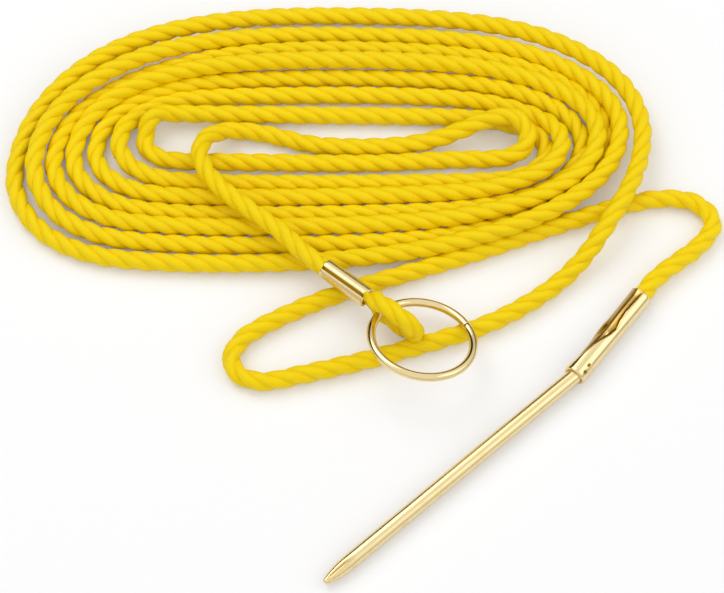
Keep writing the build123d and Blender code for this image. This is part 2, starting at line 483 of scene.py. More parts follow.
@dataclass(frozen=True)
class BrassFinish:
    """Drawn brass: fine streaks along the grain, a little tarnish, golden stains and painted shade where
    pressed, dark in pits.

    The pressed attribute is 0 on a bare wall, 1 in a tool's stain and in the painted reflection and shade
    on the socket's crimp, and 2 in a pit. A tint is a share of the browner colour, and a name that ends in
    rough is what its pattern adds to the roughness.
    """

    name: str
    grain: Point
    roughness: float = 0.18
    streak_rough: float = 0.1
    tarnish_rough: float = 0.08
    pressed_rough: float = 0.12
    bright: Colour = (0.90, 0.74, 0.41, 1.0)
    brown: Colour = (0.72, 0.55, 0.24, 1.0)
    # colour of stains, and of the painted reflection and shade on the socket's crimped side
    stain_and_shade: Colour = (0.36, 0.19, 0.01, 1.0)
    # darkest colour: pits, the sleeve's seam, and the deepest painted shadow in the socket's fold
    pit: Colour = (0.04, 0.025, 0.005, 1.0)
    streak_scale: Point = (90.0, 5200.0, 5200.0)
    streak_detail: float = 4.0
    streak_tint: float = 0.45
    streak_relief: float = 0.06
    streak_depth: float = 0.03
    tarnish_scale: float = 320.0
    tarnish_detail: float = 5.0
    tarnish_range: Pair = (0.5, 0.75)
    tarnish_tint: float = 0.3

    def make(self) -> bpy.types.Material:
        """Build the material; its streaks follow the grain in Object coordinates.

        Returns:
            The material.
        """
        finish = Finish(self.name)
        place = finish.node("ShaderNodeTexCoord", {}, {}).outputs["Object"]
        turn = Vector(self.grain).rotation_difference(Vector((1, 0, 0))).to_euler()
        grain = finish.node("ShaderNodeMapping", {}, {"Vector": place, "Rotation": turn}).outputs[0]
        drawn = finish.node("ShaderNodeMapping", {}, {"Vector": grain, "Scale": self.streak_scale}).outputs[0]
        streak = finish.noise(drawn, 1.0, self.streak_detail, Space.SOLID)
        tarnish = finish.noise(place, self.tarnish_scale, self.tarnish_detail, Space.SOLID)
        low, high = self.tarnish_range
        patches = finish.value(
            "ShaderNodeMapRange",
            {"interpolation_type": "SMOOTHSTEP"},
            {"Value": tarnish, "From Min": low, "From Max": high},
        )
        pressed = finish.value("ShaderNodeAttribute", {"attribute_name": "pressed"}, {}, "Fac")
        bare = finish.mix(streak * self.streak_tint + patches * self.tarnish_tint, self.bright, self.brown)
        # stains, and the painted reflection and shade on the socket's crimp, by the pressed attribute
        stained_and_shaded = finish.mix(pressed, bare, self.stain_and_shade)
        worn = streak * self.streak_rough + patches * self.tarnish_rough + pressed * self.pressed_rough
        shader = finish.node(
            "ShaderNodeBsdfPrincipled",
            {},
            {
                # past 1 the colour goes to the pit colour: pits, the sleeve's seam, and the deepest painted
                # shadow in the socket's fold
                "Base Color": finish.mix(pressed - 1.0, stained_and_shaded, self.pit),
                "Metallic": 1.0,
                "Roughness": worn + self.roughness,
                "Normal": finish.bump(streak, self.streak_relief, self.streak_depth),
            },
        )
        finish.surface(shader.outputs[0])
        return finish.material


@dataclass(frozen=True)
class FloorFinish:
    """Plain pale floor that keeps the object's shadow and reads as white to the camera."""

    paint: Colour = (0.92, 0.92, 0.92, 1.0)
    glow: float = 0.15

    def make(self) -> bpy.types.Material:
        """Build the material; only the camera sees its glow.

        Returns:
            The material.
        """
        finish = Finish("floor_white")
        seen = finish.value("ShaderNodeLightPath", {}, {}, "Is Camera Ray")
        paint = finish.node("ShaderNodeBsdfDiffuse", {}, {"Color": self.paint}).outputs[0]
        glow = finish.node("ShaderNodeEmission", {}, {"Color": WHITE, "Strength": 1.0}).outputs[0]
        both = finish.node("ShaderNodeMixShader", {}, {0: seen * self.glow, 1: paint, 2: glow})
        finish.surface(both.outputs[0])
        return finish.material


@dataclass
class CoilSide:
    """One side of the coil: how far each turn reaches there and how high it lies."""

    reach: tuple[float, ...]
    height: tuple[float, ...]


@dataclass
class CoilCorner:
    """One corner of the coil: its inmost bend's radius, how that grows by turn, and each turn's height."""

    radius: float
    growth: float
    height: tuple[float, ...]


@dataclass
class RopeRoute:
    """The rope's line from its tail in the ring's sleeve to its end in the needle's socket.

    The coil's turns are worked out from how far they reach on its four sides, listed from the outer
    turn in. Where they meet a side drifts with their rank, which counts from the inside. The other
    points are given one by one: the free loop from the coil to the needle, the lead from the coil's
    inner end to the ring, and the eye, along and across its own frame. The flex start and end bound
    the rope's bend by the needle, and the seam is where the needle's lead begins.
    """

    coil_turns: int = 7
    per_quarter: int = 5
    right_y: float = -3.84
    right_drift: float = 0.86
    left_y: float = 0.4
    left_drift: float = -1.35
    back_x: float = 3.09
    back_drift: float = -1.00
    front_x: float = -19.81
    front_drift: float = -0.17
    tightest: float = 5.0
    power_range: Pair = (0.12, 0.97)
    right: CoilSide = field(default_factory=lambda: CoilSide(
        (74.0, 69.0, 65.9, 63.2, 59.7, 54.5, 50.9), (5.5, 5.0, 2.2, 6.1, 2.8, 5.4, 2.2)))
    back: CoilSide = field(default_factory=lambda: CoilSide(
        (37.3, 31.4, 26.3, 21.7, 18.5, 13.3, 7.2), (2.3, 2.2, 3.6, 5.6, 2.2, 2.2, 2.2)))
    left: CoilSide = field(default_factory=lambda: CoilSide(
        (76.6, 71.7, 67.3, 62.6, 57.4, 51.7, 45.6), (2.3, 5.4, 3.3, 2.7, 2.3, 4.2, 2.2)))
    front: CoilSide = field(default_factory=lambda: CoilSide(
        (35.0, 29.9, 25.6, 21.4, 16.8, 12.5, 6.8), (2.4, 2.2, 3.4, 2.2, 2.5, 2.2, 2.9)))
    corners: tuple[CoilCorner, ...] = field(default_factory=lambda: (
        CoilCorner(2.37, 2.59, (5.2, 3.4, 2.2, 4.2, 2.5, 2.2, 2.2)),
        CoilCorner(7.42, 2.40, (5.9, 6.2, 2.3, 4.6, 2.2, 2.2, 5.9)),
        CoilCorner(3.45, 3.19, (2.2, 3.5, 4.5, 3.6, 3.3, 3.3, 2.7)),
        CoilCorner(3.29, 2.41, (5.8, 2.2, 5.6, 2.4, 5.6, 2.2)),
    ))
    free_loop: tuple[Point, ...] = (
        (72.8, -6.6, 6.1), (70.8, -13.0, 6.7), (67.5, -19.8, 6.9), (63.5, -26.4, 6.3), (59.2, -32.6, 4.3),
        (53.4, -38.6, 2.3), (45.6, -44.8, 2.2), (35.0, -51.0, 2.2), (21.6, -55.6, 2.2), (7.0, -60.2, 2.2),
        (-7.0, -63.6, 2.2), (-17.2, -66.2, 2.2), (-23.8, -62.2, 2.2), (-22.2, -54.9, 2.2),
        (-13.4, -49.2, 2.2), (0.0, -42.8, 2.2), (17.0, -37.0, 2.2), (33.0, -31.6, 2.2), (48.0, -25.6, 2.2),
        (60.0, -21.2, 2.2), (69.6, -17.9, 2.2), (78.4, -16.2, 2.2), (86.0, -17.4, 2.2), (90.0, -23.6, 2.2),
        (85.2, -30.0, 2.3),
    )
    ring_lead: tuple[Point, ...] = (
        (8.0, -6.8, 2.3), (20.0, -6.1, 2.3), (31.0, -5.5, 2.4), (39.0, -5.9, 2.8), (45.0, -4.6, 4.0),
        (46.8, 0.2, 5.6), (43.0, 4.6, 6.5), (36.5, 3.8, 6.0), (28.0, 0.6, 3.8), (20.0, -1.3, 2.6),
        (11.0, -2.0, 2.3), (2.0, -2.0, 2.2), (-6.0, -1.3, 2.2), (-13.0, 0.9, 2.1), (-19.0, 2.3, 2.3),
        (-25.0, 2.2, 3.4), (-30.0, -0.4, 5.4), (-32.3, -5.8, 7.6), (-30.8, -12.0, 8.5),
        (-26.6, -17.8, 8.7), (-20.0, -23.4, 8.8), (-12.4, -29.4, 8.9),
    )
    seam: Point = (66.8, -18.9, 2.2)
    mouth: Point = (70.7, -43.5, 2.7)
    lip: Point = (54.4, -64.3, 2.6)
    tip: Point = (-1.4, -114.0, 1.85)
    flex_run: float = 7.0
    flex_start: Point = (81.8, -35.2, 2.4)
    flex_end: Point = (75.8, -43.1, 2.6)
    socket_depths: tuple[float, ...] = (-1.5, 4.0, 12.0)
    eye: Point = (11.7, -49.8, 7.3)
    eye_heading: float = -38.5
    eye_slope: float = -1.5
    ring_heading: float = -44.0
    ring_pitch: float = 5.0
    roll: float = 16.5
    eye_roll: float = -14.0
    throat: float = 5.0
    sleeve_length: float = 12.5
    approach_run: float = 7.0
    approach_rise: float = 0.1
    eye_loop: tuple[Pair, ...] = (
        (-16.5, -0.95), (-11.0, -0.95), (-5.8, -0.95), (-3.2, -2.3), (-0.4, -4.0), (4.0, -4.5),
        (7.6, -3.7), (9.2, 0.0), (7.6, 3.7), (4.0, 4.7), (-0.8, 4.7), (-3.6, 2.7), (-5.8, 0.95),
        (-11.0, 0.9), (-15.0, 0.3), (-17.5, 0.0),
    )
    fineness: int = 12

    @property
    def sleeve_end(self) -> float:
        """Where the sleeve ends away from the ring, along the eye's frame."""
        return -self.throat - self.sleeve_length

    @property
    def socket_frame(self) -> Matrix:
        """Frame of the socket, in millimetres: Z from its mouth to its lip, X up."""
        return frame_along(Vector(self.mouth), Vector(self.lip))

    @property
    def needle_frame(self) -> Matrix:
        """Frame of the needle, in millimetres: Z from the socket's lip to the tip, X up."""
        return frame_along(Vector(self.lip), Vector(self.tip))

    @property
    def eye_frame(self) -> Matrix:
        """Frame of the eye, in millimetres: X along the sleeve to the ring, Z across its two legs."""
        return rolled_frame(Vector(self.eye), heading(self.eye_heading, self.eye_slope), self.eye_roll)

    @property
    def sleeve_frame(self) -> Matrix:
        """Frame of the sleeve, in millimetres: X along it to the ring."""
        return rolled_frame(Vector(self.eye), heading(self.eye_heading, self.eye_slope), self.roll)

    @property
    def ring_frame(self) -> Matrix:
        """Frame of the ring, in millimetres: the wire runs through its origin, the centre lies along X."""
        return rolled_frame(Vector(self.eye), heading(self.ring_heading, self.ring_pitch), self.roll)

    def station(self, quarter: int) -> Vector:
        """Where the coil is after a number of quarter turns from its outer end.

        Args:
            quarter: quarter turns, counter-clockwise seen from above.

        Returns:
            The point on that side of the coil.
        """
        turn, side = divmod(quarter, 4)
        rank = self.coil_turns - quarter / 4
        part = (self.right, self.back, self.left, self.front)[side]
        reach, height = part.reach[turn], part.height[turn]
        places = (
            (reach, self.right_y + self.right_drift * rank),
            (self.back_x + self.back_drift * rank, reach),
            (-reach, self.left_y + self.left_drift * rank),
            (self.front_x + self.front_drift * rank, -reach),
        )
        return Vector((*places[side], height))

    def coil(self) -> list[Vector]:
        """Points of the coil's turns, from the outer end in.

        Returns:
            The points, a handful for each quarter turn.
        """
        points = []
        last = 4 * self.coil_turns - 1
        for quarter in range(last):
            turn, side = divmod(quarter, 4)
            start, end = self.station(quarter), self.station(quarter + 1)
            corner = self.corners[side]
            radius = max(self.tightest, corner.radius + corner.growth * (self.coil_turns - quarter / 4))
            wide, deep = abs(end.x - start.x), abs(end.y - start.y)
            # With this power of its sine or cosine, an oval has the wanted radius at its left or right end
            least, most = self.power_range
            power = min(most, max(least, deep * deep / (radius * wide)))
            for step in range(self.per_quarter):
                share = step / self.per_quarter
                out, over = cos(share * pi / 2), sin(share * pi / 2)
                if side % 2 == 0:
                    x = end.x + (start.x - end.x) * out**power
                    y = start.y + (end.y - start.y) * over
                else:
                    x = start.x + (end.x - start.x) * over**power
                    y = end.y + (start.y - end.y) * out
                middle = corner.height[turn]
                z = start.z + (middle - start.z) * ease(2 * share) + (end.z - middle) * ease(2 * share - 1)
                points.append(Vector((x, y, z)))
        points.append(self.station(last))
        return points

    def needle_end(self) -> list[Vector]:
        """Points from the free loop's end through the bend and into the socket.

        Returns:
            The points, in order.
        """
        flex = self.socket_frame @ Vector((0, 0, -self.flex_run))
        bend = flex + (Vector(self.free_loop[-1]) - flex).normalized() * self.flex_run
        return [bend, flex] + [self.socket_frame @ Vector((0, 0, depth)) for depth in self.socket_depths]

    def points(self) -> list[Vector]:
        """All the control points.

        Returns:
            The points, from the tail in the sleeve to the end in the socket.
        """
        eye = [self.eye_frame @ Vector((x, 0, z)) for x, z in self.eye_loop]
        approach = self.eye_frame @ Vector((self.sleeve_end - self.approach_run, 0, self.approach_rise))
        lead = [Vector(point) for point in reversed(self.ring_lead)]
        loop = [Vector(point) for point in self.free_loop]
        return eye + [approach] + lead + list(reversed(self.coil())) + loop + self.needle_end()

    def read(self) -> np.ndarray:
        """Points read from the smooth spline that has the route's points as its control points.

        Returns:
            The points in metres, one row each.
        """
        curve = bpy.data.curves.new("rope_route", "CURVE")
        curve.dimensions = "3D"
        curve.resolution_u = self.fineness
        points = self.points()
        spline = curve.splines.new("NURBS")
        spline.points.add(len(points) - 1)
        for knot, point in zip(spline.points, points):
            knot.co = (*(point * MM), 1.0)
        spline.order_u = 3
        spline.use_endpoint_u = True
        mesh = mesh_of(curve)
        line = np.array([vertex.co for vertex in mesh.vertices], float)
        bpy.data.meshes.remove(mesh)
        return line


@dataclass
class Rope:
    """The three-strand rope, laid along its route.

    Runs are lengths of rope, counted from the tail for the eye and its bight and from the other end
    for the socket and the lead. A flare is how far inside the brass the rope starts to open out, and
    the length that it takes. A squeeze is the share of its thickness that the brass leaves it, and
    the other shares are of the rope's own radius.
    """

    route: RopeRoute
    finish: bpy.types.Material
    diameter: float = 4.5
    lay: float = 15.2
    strands: int = 3
    strand_share: float = 0.615
    strand_sides: int = 4
    groove_share: float = 0.45
    spacing: float = 1.0
    squeeze: float = 0.48
    socket_squeeze: float = 0.72
    eye_run: float = 75.0
    bight_run: float = 35.0
    socket_run: float = 20.0
    lead_run: float = 90.0
    throat_flare: Pair = (0.6, 4.2)
    sleeve_flare: Pair = (3.2, 2.6)
    socket_flare: Pair = (0.5, 4.0)
    line: np.ndarray = field(init=False)
    along: np.ndarray = field(init=False)
    across: np.ndarray = field(init=False)
    scale: np.ndarray = field(init=False)

    def __post_init__(self) -> None:
        """Read the route and lay an untwisted frame along it."""
        read = self.route.read()
        run = np.r_[0, np.cumsum(np.linalg.norm(np.diff(read, axis=0), axis=1))]
        count = int(run[-1] / (self.spacing * MM))
        self.along = np.linspace(0, run[-1], count + 1)
        self.line = np.column_stack([np.interp(self.along, run, read[:, axis]) for axis in range(3)])
        self.across = self._frames()
        self.scale = self._scales()

    def _frames(self) -> np.ndarray:
        """Two directions across the rope at each point, turned along it without twist.

        Returns:
            An array of points by two directions by three numbers.
        """
        tangents = np.gradient(self.line, axis=0)
        tangents /= np.linalg.norm(tangents, axis=1)[:, None]
        normal = np.cross(tangents[0], (0.0, 0.0, 1.0))
        frames = np.zeros((len(self.line), 2, 3))
        for index, tangent in enumerate(tangents):
            normal = normal - tangent * (normal @ tangent)
            normal /= np.linalg.norm(normal)
            frames[index] = normal, np.cross(tangent, normal)
        return frames

    def _scales(self) -> np.ndarray:
        """Share of its thickness that the rope has at each point: less where the brass squeezes it.

        Returns:
            The shares, one for each point.
        """
        scales = np.ones(len(self.line))
        to_eye = np.array(self.route.eye_frame.inverted().to_3x3())
        eye_x = ((self.line / MM - np.array(self.route.eye)) @ to_eye.T)[:, 0]
        for index in np.nonzero((self.along < self.eye_run * MM) & (eye_x < 0))[0]:
            inside, length = self.throat_flare
            opened = ease((eye_x[index] + self.route.throat + inside) / length)
            if self.along[index] > self.bight_run * MM:
                inside, length = self.sleeve_flare
                opened = max(opened, ease((self.route.sleeve_end + inside - eye_x[index]) / length))
            scales[index] = self.squeeze + (1 - self.squeeze) * opened
        socket_axis = np.array(self.route.socket_frame.col[2].xyz)
        depth = (self.line / MM - np.array(self.route.mouth)) @ socket_axis
        inside, length = self.socket_flare
        for index in np.nonzero((self.along > self.along[-1] - self.socket_run * MM) & (depth > 0))[0]:
            scales[index] = 1 - (1 - self.socket_squeeze) * ease((depth[index] - inside) / length)
        return scales

    @property
    def seam_index(self) -> int:
        """Point where the needle's lead starts, under the strand that crosses over it.

        Returns:
            The point's number.
        """
        near_end = self.along > self.along[-1] - self.lead_run * MM
        away = np.linalg.norm(self.line - np.array(self.route.seam) * MM, axis=1)
        return int(np.argmin(np.where(near_end, away, np.inf)))

    def strand(self, first: int, last: int, phase: float) -> bpy.types.Mesh:
        """One strand of a stretch of the rope.

        Args:
            first: the stretch's first point.
            last: the stretch's last point.
            phase: the strand's place round the rope, in radians.

        Returns:
            The strand's mesh, with fibre UVs in turns and metres and how deep in a groove each point is.
        """
        radius = self.diameter / 2 * MM
        turn = 2 * pi * self.along / (self.lay * MM) + phase
        swing = np.cos(turn)[:, None] * self.across[:, 0] + np.sin(turn)[:, None] * self.across[:, 1]
        centres = self.line + swing * (radius * (1 - self.strand_share) * self.scale)[:, None]
        curve = bpy.data.curves.new("strand", "CURVE")
        curve.dimensions = "3D"
        curve.bevel_depth = radius * self.strand_share
        curve.bevel_resolution = self.strand_sides
        spline = curve.splines.new("POLY")
        spline.points.add(last - first)
        for point, index in zip(spline.points, range(first, last + 1)):
            point.co = (*centres[index], 1.0)
            point.radius = self.scale[index]
        mesh = mesh_of(curve)
        self._mark(mesh, first, last)
        return mesh

    def _mark(self, mesh: bpy.types.Mesh, first: int, last: int) -> None:
        """Give a strand's mesh its groove attribute and its lengths in metres.

        Args:
            mesh: the strand's mesh.
            first: the stretch's first point.
            last: the stretch's last point.
        """
        places = np.zeros(len(mesh.vertices) * 3)
        mesh.vertices.foreach_get("co", places)
        sides = len(mesh.vertices) // (last - first + 1)
        places = places.reshape(last - first + 1, sides, 3)
        stretch = slice(first, last + 1)
        out = np.linalg.norm(places - self.line[stretch, None], axis=2)
        radius = self.diameter / 2 * MM * self.scale[stretch, None]
        groove = np.clip((1 - out / radius) / self.groove_share, 0, 1)
        layer = mesh.attributes.new("groove", "FLOAT", "POINT")
        layer.data.foreach_set("value", groove.ravel().astype(np.float32))
        uv = mesh.uv_layers[0]
        turns = np.zeros(len(uv.data) * 2)
        uv.data.foreach_get("uv", turns)
        turns = turns.reshape(-1, 2)
        turns[:, 1] = self.along[first] + turns[:, 1] * (self.along[last] - self.along[first])
        uv.data.foreach_set("uv", turns.ravel())

    def stretch(self, name: str, first: int, last: int) -> bpy.types.Object:
        """A stretch of the rope as one mesh of all its strands.

        Args:
            name: the piece's name.
            first: its first point.
            last: its last point.

        Returns:
            The piece.
        """
        shape = bmesh.new()
        for number in range(self.strands):
            mesh = self.strand(first, last, number * 2 * pi / self.strands)
            shape.from_mesh(mesh)
            bpy.data.meshes.remove(mesh)
        rims = [edge for edge in shape.edges if edge.is_boundary]
        bmesh.ops.holes_fill(shape, edges=rims, sides=0)
        return finished(name, shape, self.finish)

    def build(self) -> tuple[bpy.types.Object, bpy.types.Object]:
        """Make the rope's two pieces: the rope itself, and the lead into the needle's socket.

        Returns:
            The rope and the needle's lead.
        """
        seam = self.seam_index
        rope = self.stretch("rope", 0, seam)
        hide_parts("rope_coil", "rope_free_loop", "rope_ring_lead", "rope_eye")
        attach(rope, Body.COIL.value)
        lead = self.stretch("needle_lead", seam, len(self.line) - 1)
        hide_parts("rope_needle_bend", "rope_needle_tail")
        return rope, lead

    def declare(self, lead: bpy.types.Object) -> None:
        """Bake the needle's lead's place into its mesh.

        Args:
            lead: the needle's lead.
        """
        seam = self.seam_index
        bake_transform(lead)


@dataclass(frozen=True)
class Mark:
    """A small round mark of a tool in a wall: its place and width, and the degrees to a millimetre there."""

    height: float
    angle: float
    width: float
    wall: float = 22.0

    def share(self, angle: float, height: float) -> float:
        """Share of the mark's full depth at an angle and a height."""
        return bell(height - self.height, self.width) * bell((angle - self.angle) / self.wall, self.width)


@dataclass
class Socket:
    """Brass tube crimped over the rope's end on one side and the needle's butt on the other.

    An edge is how far a corner is broken, across the wall and along it. The crimp starts at the crease,
    whose line is heights and angles, and its widths and fades round the wall are degrees past that. A
    margin is where the crimp starts from an end of the tube, and the length in which it gets deep.
    """

    route: RopeRoute
    finish: bpy.types.Material
    length: float = 26.4
    mouth_r: float = 2.7
    mouth_edge: Pair = (0.1, 0.15)
    wall_r: float = 2.6
    taper: float = 15.0
    lip_edge: Pair = (0.15, 0.35)
    bore_r: float = 2.05
    bore_edge: Pair = (0.08, 0.2)
    bore_depth: float = 4.0
    needle_r: float = NEEDLE_R
    needle_gap: float = 0.1
    needle_edge: Pair = (0.12, 0.7)
    rows: int = 64
    steps: int = 72
    crease_line: tuple[Pair, ...] = (
        (0.0, -17.0), (6.5, -11.0), (9.5, -17.0), (11.7, -32.0),
        (13.8, -24.0), (17.9, 9.0), (22.6, 33.0), (25.0, 45.0),
    )
    crimp_depth: float = 0.5
    crimp_start: float = 16.0
    crimp_width: float = 125.0
    crimp_fade: float = 55.0
    mouth_margin: Pair = (-2.0, 4.0)
    lip_margin: Pair = (0.8, 3.0)
    pinch_depth: float = 0.25
    pinch_at: float = 12.5
    pinch_width: float = 4.0
    # painted reflection and shade on the sunken crimped side: its share, where it starts past the crease, and
    # how far round it reaches and fades
    stain_and_shade: float = 0.72
    shade_start: float = 7.0
    shade_width: float = 140.0
    shade_fade: float = 40.0
    # painted shadow in the fold under the crease's overhang: its share, its place past the crease and its
    # width
    fold_shadow: float = 0.75
    fold_at: float = 9.0
    fold_width: float = 10.0
    punch: Mark = Mark(height=14.1, angle=5.0, width=0.4)
    punch_depth: float = 0.3
    stakes: tuple[Mark, Mark] = (Mark(23.0, -38.0, 0.34), Mark(24.8, -46.0, 0.34))
    stake_depth: float = 0.2
    stake_stain: float = 2.6
    darkest: float = 2.0

    def outline(self) -> list[Pair]:
        """Radius and height, from the bottom of the bore over the wall to the needle.

        Returns:
            The outline's points.
        """
        outline = [(0.0, self.bore_depth), (self.bore_r, self.bore_depth), (self.bore_r, self.bore_edge[1])]
        outline += [(self.bore_r + self.bore_edge[0], 0.0), (self.mouth_r - self.mouth_edge[0], 0.0)]
        outline.append((self.mouth_r, self.mouth_edge[1]))
        run = self.length - self.mouth_edge[1] - self.lip_edge[1]
        for row in range(1, self.rows + 1):
            height = self.mouth_edge[1] + run * row / self.rows
            radius = self.mouth_r + (self.wall_r - self.mouth_r) * ease(height / self.taper)
            outline.append((radius, height))
        seat_r, seat = self.needle_r + self.needle_gap, self.length - self.needle_edge[1]
        outline.append((self.wall_r - self.lip_edge[0], self.length))
        outline.append((seat_r + self.needle_edge[0], self.length))
        return outline + [(seat_r, seat), (0.0, seat)]

    def crease(self, height: float) -> float:
        """Angle in degrees of the edge of the pressed side at a height."""
        heights, angles = zip(*self.crease_line)
        return float(np.interp(height, heights, angles))

    def crimp(self, radius: float, angle: float, height: float) -> Pair:
        """Depth of the crimp, the punch mark in it and the two stake marks by the lip, and its painted shade
        and stains.

        Args:
            radius: millimetres from the axis.
            angle: degrees round the axis, 0 at the top.
            height: millimetres from the mouth.

        Returns:
            Depth in millimetres, and painted shade and stain from 0 to 2, most in the fold's painted shadow
            and the stake marks.
        """
        if radius < self.bore_r + UNPRESSED or not UNPRESSED < height < self.length - UNPRESSED:
            return 0.0, 0.0
        past = angle - self.crease(height)
        side = ease(past / self.crimp_start) * ease((self.crimp_width - past) / self.crimp_fade)
        mouth = ease((height - self.mouth_margin[0]) / self.mouth_margin[1])
        ends = mouth * ease((self.length - self.lip_margin[0] - height) / self.lip_margin[1])
        pinch = self.pinch_depth * bell(height - self.pinch_at, self.pinch_width)
        depth = side * ends * (self.crimp_depth + pinch)
        # painted reflection and shade over the sunken side that the crimp presses in
        stain_and_shade = self.stain_and_shade * ease((self.shade_width - past) / self.shade_fade)
        # painted shadow in the fold, under the crease's overhang
        stain_and_shade += self.fold_shadow * bell(past - self.fold_at, self.fold_width)
        stain_and_shade *= ends * ease(past / self.shade_start)
        punch = self.punch.share(angle, height)
        stakes = sum(stake.share(angle, height) for stake in self.stakes)
        depth += self.punch_depth * punch + self.stake_depth * stakes
        return depth, min(self.darkest, stain_and_shade * (1 - punch) + self.stake_stain * stakes)

    def build(self) -> bpy.types.Object:
        """Make the socket.

        Returns:
            The piece.
        """
        shape = turned(self.outline(), self.steps)
        press(shape, self.crimp)
        bmesh.ops.transform(shape, matrix=Matrix.Scale(MM, 4) @ self.route.socket_frame, verts=shape.verts)
        piece = finished("socket", shape, self.finish)
        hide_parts("needle_socket")
        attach(piece, Body.NEEDLE.value)
        return piece


@dataclass
class Sleeve:
    """Brass tube crimped over the eye's two legs, with its dull seam."""

    route: RopeRoute
    finish: bpy.types.Material
    bore_r: float = 2.03
    outer_r: float = 2.38
    rim: float = 0.1
    rows: int = 30
    steps: int = 120
    seam_at: float = 136.0
    seam_half: float = 12.0
    seam_edge: float = 4.0
    seam_depth: float = 0.16
    seam_stain: float = 1.2
    end_stain: float = 0.5
    end_run: float = 0.8

    def outline(self) -> list[Pair]:
        """Closed outline of the wall, radius and height.

        Returns:
            The outline's points.
        """
        length = self.route.sleeve_length
        run = length - 2 * self.rim
        outline = [(self.outer_r - self.rim, 0.0)]
        outline += [(self.outer_r, self.rim + run * row / self.rows) for row in range(self.rows + 1)]
        return outline + [(self.outer_r - self.rim, length), (self.bore_r, length), (self.bore_r, 0.0)]

    def seam(self, radius: float, angle: float, height: float) -> Pair:
        """Depth and stain of the seam, darker at both ends.

        Args:
            radius: millimetres from the axis.
            angle: degrees round the axis.
            height: millimetres from the far end.

        Returns:
            Depth in millimetres, and stain from 0 to 2.
        """
        if radius < self.bore_r + UNPRESSED:
            return 0.0, 0.0
        inside = ease((self.seam_half - abs(angle - self.seam_at)) / self.seam_edge)
        end = bell(min(height, self.route.sleeve_length - height), self.end_run)
        return self.seam_depth * inside, inside * (self.seam_stain + self.end_stain * end)

    def build(self) -> bpy.types.Object:
        """Make the sleeve.

        Returns:
            The piece.
        """
        shape = turned(self.outline(), self.steps, closed=True)
        press(shape, self.seam)
        place = Matrix(((0, 0, 1), (1, 0, 0), (0, 1, 0))).to_4x4()
        far = Matrix.Translation((self.route.sleeve_end, 0, 0))
        whole = Matrix.Scale(MM, 4) @ self.route.sleeve_frame @ far @ place
        bmesh.ops.transform(shape, matrix=whole, verts=shape.verts)
        piece = finished("sleeve", shape, self.finish)
        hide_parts("ring_sleeve")
        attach(piece, Body.COIL.value)
        return piece


@dataclass
class Ring:
    """Brass wire bent round until its ends butt together."""

    route: RopeRoute
    finish: bpy.types.Material
    wire: float = 2.0
    outside: float = 25.4
    seam: float = 0.15
    seam_angle: float = 72.0
    edge: float = 0.08
    sides: int = 28
    steps: int = 144

    def build(self) -> bpy.types.Object:
        """Make the ring.

        Returns:
            The piece.
        """
        radius = (self.outside - self.wire) / 2
        gap = self.seam / radius
        shape = bmesh.new()
        section = bmesh.ops.create_circle(shape, cap_ends=False, segments=self.sides, radius=self.wire / 2)
        stand = Matrix.Rotation(radians(self.seam_angle) + gap / 2, 4, "Z")
        stand = stand @ Matrix.Translation((radius, 0, 0)) @ Matrix.Rotation(pi / 2, 4, "X")
        bmesh.ops.transform(shape, matrix=stand, verts=section["verts"])
        bmesh.ops.spin(
            shape, geom=shape.verts[:] + shape.edges[:], cent=(0, 0, 0), axis=(0, 0, 1), dvec=(0, 0, 0),
            angle=2 * pi - gap, steps=self.steps, use_merge=False, use_duplicate=False,
        )
        rims = [edge for edge in shape.edges if edge.is_boundary]
        bmesh.ops.holes_fill(shape, edges=rims, sides=0)
        caps = [face for face in shape.faces if len(face.verts) > 4]
        ends = [edge for face in caps for edge in face.edges]
        bmesh.ops.bevel(
            shape, geom=ends, offset=self.edge, offset_type="OFFSET", affect="EDGES",
            segments=2, profile=0.5, material=-1,
        )
        bmesh.ops.recalc_face_normals(shape, faces=shape.faces)
        whole = Matrix.Scale(MM, 4) @ self.route.ring_frame @ Matrix.Translation((radius, 0, 0))
        bmesh.ops.transform(shape, matrix=whole, verts=shape.verts)
        piece = finished("ring_wire", shape, self.finish)
        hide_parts("ring")
        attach(piece, Body.RING.value)
        return piece


